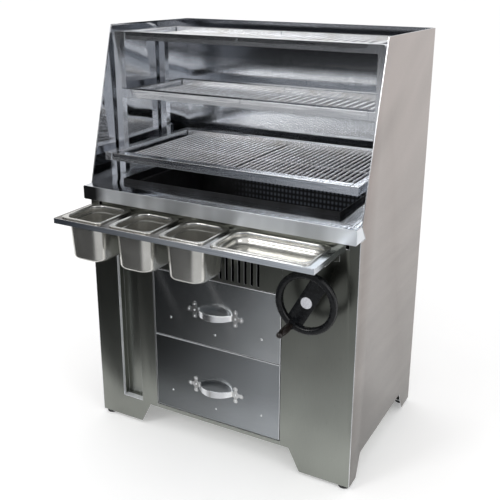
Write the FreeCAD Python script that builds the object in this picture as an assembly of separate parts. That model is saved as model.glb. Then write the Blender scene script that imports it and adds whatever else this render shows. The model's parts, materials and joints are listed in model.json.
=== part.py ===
import FreeCAD, Part
import math
import os

os.makedirs("parts", exist_ok=True)
V = FreeCAD.Vector

# All sizes are millimetres. X runs to the right, Y to the back and Z up from the floor.
# The model is drawn with Y zero on the cabinet's front, and each piece is moved back at the
# end so that the origin is the middle of the bounding box on the floor.

# Cabinet
width = 1000.0
depth = 630.0
height = 1430.0
sheet = 1.5
level_gap = 12.0
base_z = 91.0
front_foot_gap = 32.0
front_foot_slant = 40.0
side_foot = 61.0
side_foot_slant = 30.0
rear_foot = 88.0
rear_foot_slant = 41.0
bay_half = 248.0
bay_flange = 20.0
base_strip = 15.0
hem = 6.0

# Worktop with its folded ledge, and the hood above it
ledge_top = 902.0
ledge_height = 47.0
ledge_reach = 35.0
ledge_corner = 4.0
hood_front = 7.0
hood_top_front = 152.0
cap_back = 40.0
cap_slit = 3.0
back_wall_gap = 8.0

# Firebox
basin_side_gap = 94.0
basin_front = 66.0
basin_back_gap = 60.0
basin_rim = 14.0
basin_drop = 190.0
liner_wall = 3.0
liner_flange = 12.0
board = 15.0
board_height = 175.0
ash_slots = 9
ash_slot_width = 12.0
ash_slot_length = 300.0
ash_slot_pitch = 40.0

# Vent slots, tool niche and bracket slots in the front
vent_height = 217.0
slot_count = 15
slot_pitch = 23.2
slot_width = 9.0
slot_corner = 4.0
slot_rise = 9.0
slot_height = 130.0
niche_offset = 16.5
niche_width = 85.0
niche_rise = 7.0
niche_height = 602.0
niche_depth = 33.0
hook_slot_inset = 35.0
hook_slot_width = 11.0
hook_slot_height = 26.0
hook_lip = 3.0

# Feet
foot_disc_r = 20.0
foot_disc_height = 8.0
foot_disc_chamfer = 1.5
foot_inset_x = 25.0
foot_inset_y = 22.0
foot_stem_r = 5.0
foot_hole_clearance = 0.5
foot_stem_top = 60.0
foot_nut_r = 9.5
foot_nut_height = 8.0
foot_bracket_size = 58.0
foot_bracket_z = 22.0
foot_bracket_plate = 3.0

# Drawers
drawer_gap = 3.0
drawer_front_depth = 18.0
drawer_front_lip = 14.0
drawer_split = 390.0
drawer_box_length = 500.0
drawer_box_floor = 10.0
upper_box_drop = 43.5
lower_box_drop = 37.5
runner_web = 12.5
runner_height = 45.0
runner_back_gap = 50.0
runner_rise = 60.0
runner_gap = 0.3

# Drawer handles and screws
handle_above_bottom = 124.5
handle_span = 132.0
handle_reach = 38.0
handle_height = 24.0
handle_end_height = 20.0
handle_strap = 3.0
handle_plate = 2.0
plate_offset = 79.0
plate_core_r = 13.0
lobe_offset = 22.0
lobe_r = 8.5
lobe_neck = 12.0
screw_head_r = 4.0
screw_head = 2.2
side_screw_x = 177.0
side_screw_rise = 74.0
middle_screw_rise = 47.0

# Posts and racks
post = 25.0
post_wall = 1.5
post_inset = 8.5
post_height = 505.0
post_chamfer = 8.0
front_post_y = 157.0
rear_post_gap = 201.0
rack_tube_width = 25.0
rack_tube_height = 27.5
rack_wall = 1.5
rack_rail_depth = 25.0
rack_rail_drop = 2.0
rack_rail_inset = 2.0
lower_rack_rise = 104.0
middle_rack_rise = 305.5
upper_rack_rise = 506.0
lower_rack_front = 50.0
middle_rack_front = 172.0
upper_rack_front = 152.0
lower_rack_gap = 62.0
middle_rack_gap = 92.0
upper_rack_gap = 122.0

# Grates
seat_gap = 0.3
grate_side_gap = 3.0
grate_seam = 3.0
grate_lip = 13.5
grate_lip_corner = 10.0
grate_flange = 35.0
grate_leg = 21.0
grate_bar_drop = 14.0
fine_bar_r = 3.5
fine_bars = 22
coarse_bar_r = 4.0
coarse_bars = 14
grate_bar_margin_seam = 11.0
grate_bar_margin_side = 30.0
grate_tie_r = 3.0
grate_weld = 1.0

# Pan tray and pans
tray_front_margin = 11.0
tray_end_margin = 24.0
tray_drop = 28.0
tray_tube = 18.0
tray_deck = 3.0
tray_rear_fold = 3.0
pan_rim_width = 176.0
pan_back = 1.0
small_pan_length = 162.0
wide_pan_length = 325.0
small_pan_offsets = (18.0, 212.0, 404.0)
wide_pan_offset = 588.0
small_pan_depth = 150.0
wide_pan_depth = 40.0
pan_wall = 1.0
pan_rim_height = 5.0
pan_flange = 12.0
pan_rim_corner = 16.0
pan_corner = 38.0
pan_taper = 7.0
pan_foot_fold = 14.0
tray_opening_clearance = 2.0
cleat_width = 30.0
cleat_leg = 24.0
cleat_plate = 3.0
cleat_reach = 110.0

# Handwheel
wheel_offset = 12.0
shaft_below_basin = 50.0
wheel_r = 101.0
wheel_rim = 22.0
wheel_thickness = 24.0
wheel_front = 80.0
wheel_edge_round = 9.0
web_width = 56.0
web_thickness = 9.0
web_setback = 13.0
web_angle = 60.6
hub_r = 18.0
hub_length = 28.0
cap_r = 18.5
cap_height = 3.0
cap_bevel = 1.2
crank_inset = 12.7
crank_boss_r = 14.0
crank_boss = 3.0
crank_pin_r = 4.0
grip_length = 83.5
grip_r = 8.5
grip_swell_r = 12.2
grip_neck_r = 8.6
grip_ball_r = 9.8
grip_tip = 18.0
grip_gap = 0.3
grip_clearance = 0.1

# Shafts and bearings
wheel_shaft_r = 7.0
cross_shaft_r = 6.0
bearing_clearance = 0.05
shaft_hole_clearance = 1.0
bush_flange_r = 20.0
bush_flange = 4.0
bush_r = 12.0
bush_length = 14.0
bearing_size = 40.0
bearing_flange = 4.0
bearing_boss_r = 14.0
bearing_length = 12.0
bracket_gap = 29.0
bracket_plate = 8.0
bracket_height = 50.0
bracket_foot = 36.0
bracket_end = 18.0

# Gears, all of one module, and the fire grate that they lift
tooth_module = 2.0
pressure_angle = math.radians(20.0)
backlash = 0.35
pinion_teeth = 16
gear_teeth = 32
lift_teeth = 16
cross_shaft_y = 315.0
bevel_face = 0.3
bevel_hub_length = 10.0
gear_hub_length = 12.0
gear_hub_r = 14.0
gear_web = 4.0
gear_web_r = 26.0
lift_inset = 49.0
lift_rack_width = 16.0
lift_rack_body = 11.5
lift_pinion_width = 14.0
lift_stroke = 100.0
lift_margin = 14.0
lift_hole_clearance = 2.0
guide_gap = 0.3
guide_wall = 2.5
guide_height = 60.0
guide_arm = 4.0
fire_grate_rise = 15.0
fire_grate_height = 12.0
fire_grate_gap = 4.0
fire_frame = 6.0
fire_bar_r = 4.0
fire_bars = 31
fire_beam = 6.0

# Places that follow from the sizes above
half = width / 2
skin = half - sheet
column_middle = (bay_half + half) / 2
front_foot_edge = bay_half + front_foot_gap + front_foot_slant
ledge_bottom = ledge_top - ledge_height
inner_back = depth - sheet
back_wall_y = depth - back_wall_gap
vent_bottom = ledge_bottom - vent_height
slot_bottom = vent_bottom + slot_rise
niche_right = -column_middle + niche_offset + niche_width / 2
niche_left = niche_right - niche_width
niche_bottom = base_z + niche_rise
niche_top = niche_bottom + niche_height
hook_slot_x = half - hook_slot_inset - hook_slot_width
drawer_half = bay_half - drawer_gap
lower_front_bottom = base_z + base_strip + drawer_gap
lower_front_top = drawer_split - drawer_gap / 2
upper_front_bottom = drawer_split + drawer_gap / 2
upper_front_top = vent_bottom - drawer_gap
divider_x = bay_half + sheet
box_half = divider_x - runner_web - runner_gap
basin_half = half - basin_side_gap
basin_back = depth - basin_back_gap
basin_bottom = ledge_top - basin_drop
basin_floor = basin_bottom + liner_wall
basin_rim_top = ledge_top + basin_rim
post_inner_x = half - post_inset - post
post_top = ledge_top + post_height
rear_post_y = back_wall_y - rear_post_gap
tray_reach = pan_back + pan_rim_width + tray_front_margin
tray_right = -half + wide_pan_offset + wide_pan_length + tray_end_margin
tray_top = ledge_bottom - tray_drop
tray_bottom = tray_top - tray_tube
front_y = -(depth - tray_reach) / 2
wheel_x = column_middle - wheel_offset
shaft_z = basin_bottom - shaft_below_basin
crank_r = wheel_r - crank_inset
lift_x = divider_x + sheet + lift_inset
fire_grate_z = basin_floor + fire_grate_rise
pitch_r = tooth_module * lift_teeth / 2
pinion_pitch_r = tooth_module * pinion_teeth / 2
gear_pitch_r = tooth_module * gear_teeth / 2
rack_pitch_y = cross_shaft_y - pitch_r
bracket_y = cross_shaft_y - gear_pitch_r - bevel_hub_length - bracket_gap - bracket_plate
addendum = tooth_module
dedendum = 1.25 * tooth_module


def block(x0, x1, y0, y1, z0, z1):
    return Part.makeBox(x1 - x0, y1 - y0, z1 - z0, V(x0, y0, z0))


def face_of(points):
    return Part.Face(Part.makePolygon(points + [points[0]]))


def plate_yz(x0, x1, outline):
    """A flat plate whose outline is a list of (y, z) points, from x0 to x1."""
    return face_of([V(x0, y, z) for y, z in outline]).extrude(V(x1 - x0, 0, 0))


def plate_xz(y0, y1, outline):
    """A flat plate whose outline is a list of (x, z) points, from y0 to y1."""
    return face_of([V(x, y0, z) for x, z in outline]).extrude(V(0, y1 - y0, 0))


def rod(start, end, radius):
    run = end - start
    return Part.makeCylinder(radius, run.Length, start, run)


def rod_x(x0, x1, y, z, radius):
    return rod(V(x0, y, z), V(x1, y, z), radius)


def rod_y(x, y0, y1, z, radius):
    return rod(V(x, y0, z), V(x, y1, z), radius)


def rod_z(x, y, z0, z1, radius):
    return rod(V(x, y, z0), V(x, y, z1), radius)


def mirrored(shape):
    return shape.mirror(V(0, 0, 0), V(1, 0, 0))


def fused(first, *others):
    return first.fuse(list(others)).removeSplitter()


def rounded_wire(corners, radius):
    """A closed wire round four corners in order, each rounded with the same radius."""
    edges = []
    count = len(corners)
    starts, ends = [], []
    for i, corner in enumerate(corners):
        back = (corners[i - 1] - corner).normalize()
        ahead = (corners[(i + 1) % count] - corner).normalize()
        starts.append(corner + back * radius)
        ends.append(corner + ahead * radius)
        middle = corner + (back + ahead) * radius * (1 - math.sqrt(0.5))
        edges.append(Part.Arc(starts[i], middle, ends[i]).toShape())
    for i in range(count):
        edges.append(Part.makeLine(ends[i], starts[(i + 1) % count]))
    return Part.Wire(Part.__sortEdges__(edges))


def rectangle_xy(x0, x1, y0, y1, z, radius):
    return rounded_wire([V(x0, y0, z), V(x1, y0, z), V(x1, y1, z), V(x0, y1, z)], radius)


def rectangle_xz(x0, x1, z0, z1, y, radius):
    return rounded_wire([V(x0, y, z0), V(x1, y, z0), V(x1, y, z1), V(x0, y, z1)], radius)


def hexagon(x, y, z0, z1, across_corners_r):
    points = []
    for i in range(6):
        angle = math.pi / 3 * i
        points.append(V(x + across_corners_r * math.cos(angle), y + across_corners_r * math.sin(angle), z0))
    return face_of(points).extrude(V(0, 0, z1 - z0))


def write(node, *solids):
    shape = Part.makeCompound(list(solids)) if len(solids) > 1 else solids[0].copy()
    shape.translate(V(0, front_y, 0))
    shape.exportStep(os.path.join("parts", node + ".step"))


# Cabinet sheets

def side_panel():
    """Right side, one sheet from the feet to the hood's top, hemmed along the hood."""
    outline = [
        (0, level_gap), (0, ledge_bottom), (cap_back, ledge_bottom), (hood_front, ledge_top),
        (hood_top_front, height), (depth, height), (depth, level_gap), (depth - rear_foot, level_gap),
        (depth - rear_foot - rear_foot_slant, base_z), (side_foot + side_foot_slant, base_z),
        (side_foot, level_gap)]
    front_hem = [
        (hood_front, ledge_top), (hood_top_front, height), (hood_top_front + hem, height),
        (hood_front + hem, ledge_top)]
    top_hem = [
        (hood_top_front, height - hem), (hood_top_front, height), (back_wall_y, height),
        (back_wall_y, height - hem)]
    panel = plate_yz(skin, half, outline)
    return fused(panel, plate_yz(skin - sheet, skin, front_hem), plate_yz(skin - sheet, skin, top_hem))


def column_front():
    """Right-hand column's front sheet with its slanted foot and the flange beside the drawers."""
    outline = [
        (skin, level_gap), (front_foot_edge, level_gap), (front_foot_edge - front_foot_slant, base_z),
        (bay_half, base_z), (bay_half, ledge_bottom), (skin, ledge_bottom)]
    front = plate_xz(0, sheet, outline)
    flange = block(bay_half, bay_half + sheet, sheet, bay_flange, base_z + sheet, ledge_bottom)
    hook_slot = block(
        hook_slot_x, hook_slot_x + hook_slot_width, -1, sheet + 1,
        ledge_bottom - hook_slot_height, ledge_bottom + 1)
    return fused(front, flange).cut(hook_slot)


def right_column_front():
    """The right sheet has a small lip pressed out below its bracket slot."""
    lip_top = ledge_bottom - hook_slot_height
    lip = block(hook_slot_x, hook_slot_x + hook_slot_width, -hook_lip, 0, lip_top - hook_lip, lip_top)
    return fused(column_front(), lip).cut(rod_y(wheel_x, -1, sheet + 1, shaft_z, bush_r))


def left_column_front():
    niche = block(niche_left, niche_right, -1, sheet + 1, niche_bottom, niche_top)
    return mirrored(column_front()).cut(niche)


def niche_liner():
    outer = block(
        niche_left - sheet, niche_right + sheet, sheet, niche_depth + sheet,
        niche_bottom - sheet, niche_top + sheet)
    return outer.cut(block(niche_left, niche_right, 0, niche_depth, niche_bottom, niche_top))


def vent_panel():
    panel = block(-bay_half + seat_gap, bay_half - seat_gap, 0, sheet, vent_bottom, ledge_bottom)
    for i in range(slot_count):
        x = (i - (slot_count - 1) / 2) * slot_pitch
        slot = rectangle_xz(
            x - slot_width / 2, x + slot_width / 2, slot_bottom, slot_bottom + slot_height, -1,
            slot_corner)
        panel = panel.cut(Part.Face(slot).extrude(V(0, sheet + 2, 0)))
    return panel


def base_plate():
    plate = block(-skin, skin, sheet, inner_back, base_z, base_z + sheet)
    strip = block(-bay_half + seat_gap, bay_half - seat_gap, 0, sheet, base_z, base_z + base_strip)
    return fused(plate, strip)


def back_panel():
    right = [
        (front_foot_edge - front_foot_slant, base_z), (front_foot_edge, level_gap), (skin, level_gap),
        (skin, height)]
    left = [(-x, z) for x, z in reversed(right)]
    return plate_xz(inner_back, depth, right + left)


def back_wall():
    """Inner wall of the hood and the top that joins it to the back panel, one folded sheet."""
    wall = block(-skin, skin, back_wall_y, back_wall_y + sheet, ledge_top, height)
    top = block(-skin, skin, back_wall_y, inner_back, height - sheet, height)
    return fused(wall, top)


def divider():
    """Right-hand wall between the drawers and the column, with the cross shaft's hole."""
    wall = block(divider_x, divider_x + sheet, sheet, basin_back, base_z + sheet, basin_bottom)
    hole_r = cross_shaft_r + shaft_hole_clearance
    return wall.cut(rod_x(divider_x - 1, divider_x + sheet + 1, cross_shaft_y, shaft_z, hole_r))


# Worktop and firebox

def ledge_box(inset, y0, y1):
    """The ledge's long box, its section rounded at the ends, made smaller all round by inset."""
    wire = rectangle_xz(
        -half + inset, half - inset, ledge_bottom + inset, ledge_top - inset, y0, ledge_corner - inset)
    return Part.Face(wire).extrude(V(0, y1 - y0, 0))


def front_ledge():
    shell = ledge_box(0, -ledge_reach, cap_back).cut(ledge_box(sheet, -ledge_reach + sheet, cap_back + 1))
    cap_outline = [
        (-ledge_reach, ledge_bottom), (cap_back - cap_slit, ledge_bottom),
        (hood_front - cap_slit, ledge_top), (-ledge_reach, ledge_top)]
    shell = shell.common(plate_yz(-half, half, cap_outline))
    top = block(-skin, skin, 0, inner_back, ledge_top - sheet, ledge_top)
    cut_out = block(-basin_half, basin_half, basin_front, basin_back, ledge_top - sheet - 1, ledge_top + 1)
    return fused(shell, top).cut(cut_out)


def lift_slot(side):
    """Clearance hole in the firebox floor for one toothed lift rack."""
    x0 = side * lift_x - lift_rack_width / 2 - lift_hole_clearance
    x1 = side * lift_x + lift_rack_width / 2 + lift_hole_clearance
    y0 = rack_pitch_y - dedendum - lift_rack_body - lift_hole_clearance
    y1 = rack_pitch_y + addendum + lift_hole_clearance
    return block(x0, x1, y0, y1, basin_bottom - 1, basin_floor + 1)


def basin_liner():
    outer = block(-basin_half, basin_half, basin_front, basin_back, basin_bottom, basin_rim_top)
    inner = block(
        -basin_half + liner_wall, basin_half - liner_wall, basin_front + liner_wall,
        basin_back - liner_wall, basin_floor, basin_rim_top + 1)
    under = ledge_top - sheet
    flange = block(
        -basin_half - liner_flange, basin_half + liner_flange, basin_front - liner_flange,
        basin_back + liner_flange / 2, under - sheet, under)
    liner = fused(outer, flange).cut(inner)
    middle_y = (basin_front + basin_back) / 2
    for i in range(ash_slots):
        x = (i - (ash_slots - 1) / 2) * ash_slot_pitch
        liner = liner.cut(block(
            x - ash_slot_width / 2, x + ash_slot_width / 2, middle_y - ash_slot_length / 2,
            middle_y + ash_slot_length / 2, basin_bottom - 1, basin_floor + 1))
    return liner.cut(lift_slot(1)).cut(lift_slot(-1))


def insulation_boards():
    x = basin_half - liner_wall
    y0 = basin_front + liner_wall
    y1 = basin_back - liner_wall
    z0 = basin_floor
    z1 = basin_floor + board_height
    side = block(x - board, x, y0 + board, y1 - board, z0, z1)
    return [
        block(-x, x, y0, y0 + board, z0, z1),
        block(-x, x, y1 - board, y1, z0, z1),
        side,
        mirrored(side)]


# Feet

def foot_places():
    x = half - foot_inset_x
    return [(sx * x, y) for sx in (-1, 1) for y in (foot_inset_y, depth - foot_inset_y)]


def levelling_foot(x, y):
    disc = rod_z(x, y, 0, foot_disc_height, foot_disc_r)
    rim = [edge for edge in disc.Edges if edge.Curve.TypeId == "Part::GeomCircle"]
    disc = disc.makeChamfer(foot_disc_chamfer, rim)
    shoulder = hexagon(x, y, foot_disc_height, foot_bracket_z, foot_nut_r)
    return fused(disc, shoulder, rod_z(x, y, foot_bracket_z, foot_stem_top, foot_stem_r))


def lock_nut(x, y):
    seat = foot_bracket_z + foot_bracket_plate
    nut = hexagon(x, y, seat, seat + foot_nut_height, foot_nut_r)
    return nut.cut(rod_z(x, y, seat - 1, seat + foot_nut_height + 1, foot_stem_r + bearing_clearance))


def foot_bracket(x, y):
    """Plate across one corner of the cabinet's sheets, which the foot's stem passes through."""
    x0 = skin - foot_bracket_size if x > 0 else -skin
    y0 = sheet if y < depth / 2 else inner_back - foot_bracket_size
    z0 = foot_bracket_z
    z1 = z0 + foot_bracket_plate
    plate = block(x0, x0 + foot_bracket_size, y0, y0 + foot_bracket_size, z0, z1)
    return plate.cut(rod_z(x, y, z0 - 1, z1 + 1, foot_stem_r + foot_hole_clearance))


# Drawers

def drawer_front(z0, z1):
    """Folded front: a face with sides turned back and a lip turned in behind."""
    x = drawer_half
    shell = block(-x, x, 0, drawer_front_depth, z0, z1)
    shell = shell.cut(block(
        -x + sheet, x - sheet, sheet, drawer_front_depth - sheet, z0 + sheet, z1 - sheet))
    lip = drawer_front_lip
    return shell.cut(block(
        -x + lip, x - lip, drawer_front_depth - sheet - 1, drawer_front_depth + 1, z0 + lip, z1 - lip))


def drawer_box(z0, z1):
    y0 = drawer_front_depth
    y1 = y0 + drawer_box_length
    outer = block(-box_half, box_half, y0, y1, z0, z1)
    inner = block(-box_half + sheet, box_half - sheet, y0 + sheet, y1 - sheet, z0 + sheet, z1 + 1)
    return outer.cut(inner)


def moving_runner(z):
    """Right-hand sliding bar on the drawer's side, inside the fixed channel."""
    lips = sheet + runner_gap
    return block(
        box_half, divider_x - sheet - runner_gap, drawer_front_depth + bay_flange,
        drawer_front_depth + drawer_box_length, z + lips, z + runner_height - lips)


def fixed_runner(z):
    """Right-hand channel on the divider, open towards the drawer."""
    x0 = divider_x - runner_web + sheet
    y0 = bay_flange
    y1 = depth - runner_back_gap
    channel = block(x0, divider_x, y0, y1, z, z + runner_height)
    return channel.cut(block(
        x0 - 1, divider_x - sheet, y0 - 1, y1 + 1, z + sheet, z + runner_height - sheet))


def lobe_places(z):
    """Middles of the right-hand handle plate's three lobes: above, below and outwards."""
    return [
        (plate_offset, z + lobe_offset), (plate_offset, z - lobe_offset),
        (plate_offset + lobe_offset, z)]


def handle_plate_shape(z):
    """Right-hand three-lobed plate, whose fourth arm reaches under the strap's end."""
    pieces = [rod_y(plate_offset, -handle_plate, 0, z, plate_core_r)]
    for x, lobe_z in lobe_places(z):
        pieces.append(rod_y(x, -handle_plate, 0, lobe_z, lobe_r))
    neck = lobe_neck / 2
    pieces.append(block(
        plate_offset - neck, plate_offset + neck, -handle_plate, 0, z - lobe_offset, z + lobe_offset))
    inner = handle_span / 2 - 2 * handle_strap
    pieces.append(block(inner, plate_offset + lobe_offset, -handle_plate, 0, z - neck, z + neck))
    root = handle_end_height / 2
    pieces.append(block(inner, inner + 3 * handle_strap, -handle_plate, 0, z - root, z + root))
    return fused(*pieces)


def handle(z):
    """Strap bent to one arc between two screwed plates, a little lower at its ends."""
    reach = handle_span / 2
    rise = handle_reach - handle_plate
    outer_r = (reach ** 2 + rise ** 2) / (2 * rise)
    middle_y = outer_r - handle_reach
    z0 = z - handle_height / 2
    z1 = z + handle_height / 2
    hollow = rod_z(0, middle_y, z0 - 1, z1 + 1, outer_r - handle_strap)
    strap = rod_z(0, middle_y, z0, z1, outer_r).cut(hollow)
    end = handle_end_height / 2
    side = plate_xz(-handle_reach - 1, -handle_plate, [
        (-reach, z - end), (0, z0), (reach, z - end), (reach, z + end), (0, z1), (-reach, z + end)])
    plate = handle_plate_shape(z)
    return fused(strap.common(side), plate, mirrored(plate))


def screw_head_at(x, seat_y, z):
    """Low domed head whose flat side lies on the sheet at seat_y."""
    ball_r = (screw_head_r ** 2 + screw_head ** 2) / (2 * screw_head)
    ball = Part.makeSphere(ball_r, V(x, seat_y - screw_head + ball_r, z))
    return ball.common(rod_y(x, seat_y - screw_head, seat_y, z, screw_head_r))


def drawer_screws(z0):
    heads = [
        screw_head_at(-side_screw_x, 0, z0 + side_screw_rise),
        screw_head_at(0, 0, z0 + middle_screw_rise),
        screw_head_at(side_screw_x, 0, z0 + side_screw_rise)]
    handle_z = z0 + handle_above_bottom
    for x, z in lobe_places(handle_z) + [(plate_offset, handle_z)]:
        heads.append(screw_head_at(x, -handle_plate, z))
        heads.append(screw_head_at(-x, -handle_plate, z))
    return heads


# Posts, racks and grates

def upright(y0):
    """Right-hand square tube post, its outer top corner cut off."""
    x0 = post_inner_x
    x1 = x0 + post
    tube = block(x0, x1, y0, y0 + post, ledge_top, post_top)
    bore = block(
        x0 + post_wall, x1 - post_wall, y0 + post_wall, y0 + post - post_wall,
        ledge_top + post_wall, post_top - post_wall - post_chamfer)
    corner = plate_xz(y0 - 1, y0 + post + 1, [
        (x1 - post_chamfer, post_top), (x1, post_top - post_chamfer),
        (x1 + 1, post_top - post_chamfer), (x1 + 1, post_top + 1), (x1 - post_chamfer, post_top + 1)])
    return tube.cut(bore).cut(corner)


def closed_tube(x0, x1, y0, y1, z0, z1):
    """Square tube with a plate welded into each end."""
    wall = rack_wall
    return block(x0, x1, y0, y1, z0, z1).cut(
        block(x0 + wall, x1 - wall, y0 + wall, y1 - wall, z0 + wall, z1 - wall))


def rack_frame(front, back, top):
    x1 = post_inner_x
    x0 = x1 - rack_tube_width
    bottom = top - rack_tube_height
    side = closed_tube(x0, x1, front, back, bottom, top)
    pieces = [side, mirrored(side)]
    rail_top = top - rack_rail_drop
    for y0 in (front + rack_rail_inset, back - rack_rail_inset - rack_rail_depth):
        pieces.append(closed_tube(-x0, x0, y0, y0 + rack_rail_depth, bottom, rail_top))
    return fused(*pieces)


def grate_lip_section(x0, x1, front, top, facing):
    """Folded cap that hooks over a rail: face, top and inner leg; facing is 1 in front, -1 behind."""
    flange_end = front + facing * grate_flange
    ys = sorted((front, flange_end))
    flange = block(x0, x1, ys[0], ys[1], top - sheet, top)
    corner = grate_lip_corner
    face_y = min(front, front + facing * sheet)
    middle = corner * (1 - math.sqrt(0.5))
    low = top - grate_lip
    edges = [
        Part.makeLine(V(x0, face_y, top), V(x0, face_y, low + corner)),
        Part.Arc(V(x0, face_y, low + corner), V(x0 + middle, face_y, low + middle),
                 V(x0 + corner, face_y, low)).toShape(),
        Part.makeLine(V(x0 + corner, face_y, low), V(x1 - corner, face_y, low)),
        Part.Arc(V(x1 - corner, face_y, low), V(x1 - middle, face_y, low + middle),
                 V(x1, face_y, low + corner)).toShape(),
        Part.makeLine(V(x1, face_y, low + corner), V(x1, face_y, top)),
        Part.makeLine(V(x1, face_y, top), V(x0, face_y, top))]
    face = Part.Face(Part.Wire(edges)).extrude(V(0, sheet, 0))
    leg_ys = sorted((flange_end, flange_end - facing * sheet))
    leg = block(x0, x1, leg_ys[0], leg_ys[1], top - grate_leg, top)
    return [flange, face, leg]


def grate(front, back, rack_top, bars, bar_r):
    """Right-hand grate of one rack: two folded lips, and the bars between them on a tie rod."""
    top = rack_top - rack_rail_drop + sheet + seat_gap
    x0 = grate_seam / 2
    x1 = post_inner_x - rack_tube_width - grate_side_gap
    front_lip = fused(*grate_lip_section(x0, x1, front, top, 1))
    back_lip = fused(*grate_lip_section(x0, x1, back, top, -1))
    bar_z = rack_top - grate_bar_drop - bar_r
    y0 = front + grate_flange
    y1 = back - grate_flange
    first = x0 + grate_bar_margin_seam
    last = x1 - grate_bar_margin_side
    tie_z = bar_z - bar_r - grate_tie_r + grate_weld
    pieces = [rod_x(first - bar_r, last + bar_r, (y0 + y1) / 2, tie_z, grate_tie_r)]
    for i in range(bars):
        x = first + (last - first) * i / (bars - 1)
        pieces.append(rod_y(x, y0, y1, bar_z, bar_r))
    return [front_lip, back_lip, fused(*pieces)]


# Pan tray and pans

def pans():
    """Left end, length and depth of each pan, from the left."""
    small = [(-half + offset, small_pan_length, small_pan_depth) for offset in small_pan_offsets]
    return small + [(-half + wide_pan_offset, wide_pan_length, wide_pan_depth)]


def pan_y():
    return -pan_back - pan_rim_width, -pan_back


def tray_frame():
    outer = block(-half, tray_right, -tray_reach, 0, tray_bottom, tray_top)
    hollow = block(
        -half + tray_tube, tray_right - tray_tube, -tray_reach + tray_tube, -tray_rear_fold,
        tray_bottom - 1, tray_top - tray_deck)
    frame = outer.cut(hollow)
    y0, y1 = pan_y()
    inset = pan_flange - tray_opening_clearance
    for x, length, pan_depth in pans():
        opening = rectangle_xy(
            x + inset, x + length - inset, y0 + inset, y1 - inset, tray_bottom - 1, pan_corner)
        frame = frame.cut(Part.Face(opening).extrude(V(0, 0, tray_tube + 2)))
    return frame


def tray_bracket(x0):
    """Angle cleat with a sloping gusset, from the cabinet's front to the tray's underside."""
    x1 = x0 + cleat_width
    top = tray_bottom
    wall_leg = block(x0, x1, -cleat_plate, 0, top - cleat_leg, top)
    arm = block(x0, x1, -cleat_reach, 0, top - cleat_plate, top)
    gusset = plate_yz(x0, x0 + cleat_plate, [
        (-cleat_plate, top - cleat_plate), (-cleat_reach + cleat_plate, top - cleat_plate),
        (-cleat_plate, top - cleat_leg)])
    return fused(wall_leg, arm, gusset)


def tray_brackets():
    return [tray_bracket(-half), tray_bracket(tray_right - cleat_width)]


def pan_tub(x0, x1, y0, y1, top, bottom, inset, corner):
    """Tapered tub of three rounded rectangles, drawn in again at its foot."""
    sections = []
    for z, step in (
            (top, inset), (bottom + pan_foot_fold, inset + pan_taper),
            (bottom, inset + pan_taper + pan_foot_fold)):
        sections.append(rectangle_xy(x0 + step, x1 - step, y0 + step, y1 - step, z, corner))
    return Part.makeLoft(sections, True, True)


def pan(x0, length, pan_depth):
    """Tub with a flat rim, whose edge is turned down and rests on the tray."""
    x1 = x0 + length
    y0, y1 = pan_y()
    seat = tray_top + seat_gap
    top = seat + pan_rim_height
    wall = pan_wall
    rim = Part.Face(rectangle_xy(x0, x1, y0, y1, seat, pan_rim_corner)).extrude(V(0, 0, pan_rim_height))
    under_rim = Part.Face(rectangle_xy(
        x0 + wall, x1 - wall, y0 + wall, y1 - wall, seat - wall, pan_rim_corner - wall))
    rim = rim.cut(under_rim.extrude(V(0, 0, pan_rim_height)))
    outside = pan_tub(x0, x1, y0, y1, top, top - pan_depth, pan_flange, pan_corner)
    inside = pan_tub(
        x0, x1, y0, y1, top + wall, top - pan_depth + wall, pan_flange + wall, pan_corner - wall)
    return fused(rim, outside).cut(inside)


# Handwheel, crank and shafts

def revolved_y(x, z, profile):
    """Solid of revolution about the line along Y through (x, z); profile is (radius, y) points."""
    face = face_of([V(x + radius, y, z) for radius, y in profile])
    return face.revolve(V(x, 0, z), V(0, 1, 0), 360)


def handwheel():
    back = -wheel_front + wheel_thickness
    outer = wheel_r
    inner = wheel_r - wheel_rim
    section = rounded_wire([
        V(wheel_x + inner, -wheel_front, shaft_z), V(wheel_x + outer, -wheel_front, shaft_z),
        V(wheel_x + outer, back, shaft_z), V(wheel_x + inner, back, shaft_z)], wheel_edge_round)
    rim = Part.Face(section).revolve(V(wheel_x, 0, shaft_z), V(0, 1, 0), 360)
    web_y = -wheel_front + web_setback
    reach = math.sqrt((inner + wheel_rim / 2) ** 2 - (web_width / 2) ** 2)
    web = block(-reach, reach, web_y, web_y + web_thickness, -web_width / 2, web_width / 2)
    web.rotate(V(0, 0, 0), V(0, 1, 0), -web_angle)
    web.translate(V(wheel_x, 0, shaft_z))
    hub = rod_y(wheel_x, web_y, web_y + hub_length, shaft_z, hub_r)
    boss_x, boss_z = crank_place()
    boss = rod_y(boss_x, -wheel_front - crank_boss, back - wheel_edge_round, boss_z, crank_boss_r)
    pin_hole = rod_y(boss_x, -wheel_front - crank_boss - 1, back, boss_z, crank_pin_r)
    bore = rod_y(wheel_x, web_y + web_thickness / 2, web_y + hub_length + 1, shaft_z, wheel_shaft_r)
    return fused(rim, web, hub, boss).cut(bore).cut(pin_hole)


def crank_place():
    angle = math.radians(180 + web_angle)
    return wheel_x + crank_r * math.cos(angle), shaft_z + crank_r * math.sin(angle)


def hub_cap():
    seat = -wheel_front + web_setback
    return revolved_y(wheel_x, shaft_z, [
        (0, seat), (cap_r, seat), (cap_r, seat - cap_height + cap_bevel),
        (cap_r - cap_bevel, seat - cap_height), (0, seat - cap_height)])


def grip_start():
    return -wheel_front - crank_boss - grip_gap


def grip_end():
    return grip_start() - grip_length


def pin_end():
    return grip_end() + grip_tip


def crank_pin():
    x, z = crank_place()
    return rod_y(x, pin_end(), -wheel_front + wheel_thickness - wheel_edge_round, z, crank_pin_r)


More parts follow.
